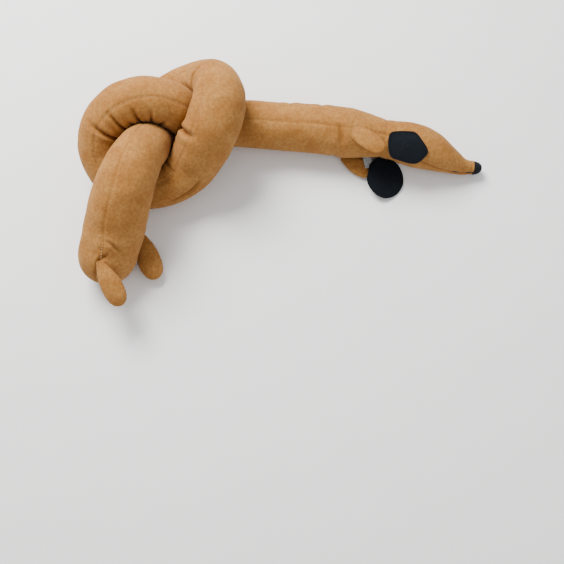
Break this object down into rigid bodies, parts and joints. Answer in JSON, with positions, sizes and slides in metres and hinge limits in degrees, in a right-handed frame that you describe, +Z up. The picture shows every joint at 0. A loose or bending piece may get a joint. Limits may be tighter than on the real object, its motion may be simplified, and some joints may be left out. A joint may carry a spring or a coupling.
{
  "type": "knotted plush dachshund",
  "caption": "Very long stuffed toy dachshund lying on its side, its soft round body tied in one overhand knot, with flap ears and sewn-on legs.",
  "frame": {"origin": "on the surface the toy lies on, 3 mm from under the middle of its outline; it is the point of the mount resting_side", "axes": "+X towards the head, +Y towards the toy's back, +Z up off the surface; the toy lies on its left side"},
  "size_m": [0.4795, 0.2981, 0.1155],
  "materials": {
    "tan_plush": "short-pile polyester plush, soft sheen",
    "stuffing": "loose polyester fibre",
    "ear_fleece": "black short-pile fleece, matt",
    "nose_fleece": "black short-pile fleece",
    "dark_thread": "black embroidery thread",
    "tan_thread": "sewing thread, matched to the plush",
    "label_ribbon": "woven satin ribbon, blank"
  },
  "bodies": {
    "knot": {"knot_back_panel_1": "tan_plush", "knot_back_panel_2": "tan_plush", "knot_back_panel_3": "tan_plush", "knot_back_panel_4": "tan_plush", "knot_back_panel_5": "tan_plush", "knot_back_panel_6": "tan_plush", "knot_back_panel_7": "tan_plush", "knot_back_panel_8": "tan_plush", "knot_back_panel_9": "tan_plush", "knot_belly_panel_1": "tan_plush", "knot_belly_panel_2": "tan_plush", "knot_belly_panel_3": "tan_plush", "knot_belly_panel_4": "tan_plush", "knot_belly_panel_5": "tan_plush", "knot_belly_panel_6": "tan_plush", "knot_belly_panel_7": "tan_plush", "knot_belly_panel_8": "tan_plush", "knot_belly_panel_9": "tan_plush", "knot_filling": "stuffing"},
    "rump": {"rump_back_panel": "tan_plush", "rump_belly_panel": "tan_plush", "rump_closing_stitches": "tan_thread", "rump_filling": "stuffing"},
    "chest_rear": {"chest_rear_back_panel": "tan_plush", "chest_rear_belly_panel": "tan_plush", "chest_rear_filling": "stuffing"},
    "chest_front": {"chest_front_back_panel": "tan_plush", "chest_front_belly_panel": "tan_plush", "chest_front_filling": "stuffing", "care_label": "label_ribbon"},
    "head": {"head_chin": "tan_plush", "head_filling": "stuffing", "head_left_side": "tan_plush", "head_right_side": "tan_plush", "nose_cap": "nose_fleece", "mouth_stitches": "dark_thread"},
    "right_ear": {"right_ear_face": "ear_fleece", "right_ear_lining": "ear_fleece"},
    "left_ear": {"left_ear_face": "ear_fleece", "left_ear_lining": "ear_fleece"},
    "right_front_leg": {"right_front_leg_upper": "tan_plush", "right_front_leg_lower": "tan_plush", "right_front_leg_filling": "stuffing"},
    "left_front_leg": {"left_front_leg_upper": "tan_plush", "left_front_leg_lower": "tan_plush", "left_front_leg_filling": "stuffing"},
    "right_hind_leg": {"right_hind_leg_upper": "tan_plush", "right_hind_leg_lower": "tan_plush", "right_hind_leg_filling": "stuffing"},
    "left_hind_leg": {"left_hind_leg_upper": "tan_plush", "left_hind_leg_lower": "tan_plush", "left_hind_leg_filling": "stuffing"}
  },
  "joints": [
    {"name": "chest_sway", "type": "hinge", "parent": "knot", "child": "chest_rear", "pos_m": [-0.03848, 0.07648, 0.0282], "axis": [0, 0, 1], "range_deg": [-20, 20]},
    {"name": "chest_lift", "type": "hinge", "parent": "chest_rear", "child": "chest_front", "pos_m": [0.02926, 0.07071, 0.02804], "axis": [-0.0618, -0.9981, 0], "range_deg": [0, 25]},
    {"name": "neck_nod", "type": "hinge", "parent": "chest_front", "child": "head", "pos_m": [0.128, 0.056, 0.026], "axis": [0, 0, 1], "range_deg": [-3, 25]},
    {"name": "rump_sway", "type": "hinge", "parent": "knot", "child": "rump", "pos_m": [-0.17337, -0.01724, 0.08266], "axis": [0, 0, 1], "range_deg": [-20, 20]},
    {"name": "right_ear_flap", "type": "hinge", "parent": "head", "child": "right_ear", "pos_m": [0.14145, 0.05272, 0.05662], "axis": [-0.9962, -0.0012, -0.0876], "range_deg": [0, 150]},
    {"name": "left_ear_flap", "type": "hinge", "parent": "head", "child": "left_ear", "pos_m": [0.1255, 0.0363, 0.0067], "axis": [-0.9703, 0, 0.2419], "range_deg": [0, 30]},
    {"name": "right_front_leg_lift", "type": "hinge", "parent": "chest_front", "child": "right_front_leg", "pos_m": [0.082, 0.055, 0.058], "axis": [-0.5369, -0.8423, -0.0474], "range_deg": [0, 100]},
    {"name": "left_front_leg_swing", "type": "hinge", "parent": "chest_front", "child": "left_front_leg", "pos_m": [0.079, 0.036, 0.0047], "axis": [0, 0, -1], "range_deg": [0, 70]},
    {"name": "right_hind_leg_lift", "type": "hinge", "parent": "rump", "child": "right_hind_leg", "pos_m": [-0.196, -0.111, 0.0665], "axis": [-0.9319, -0.3612, -0.0332], "range_deg": [0, 90]},
    {"name": "left_hind_leg_swing", "type": "hinge", "parent": "rump", "child": "left_hind_leg", "pos_m": [-0.163, -0.066, 0.0115], "axis": [0, 0, 1], "range_deg": [-5, 50]}
  ]
}
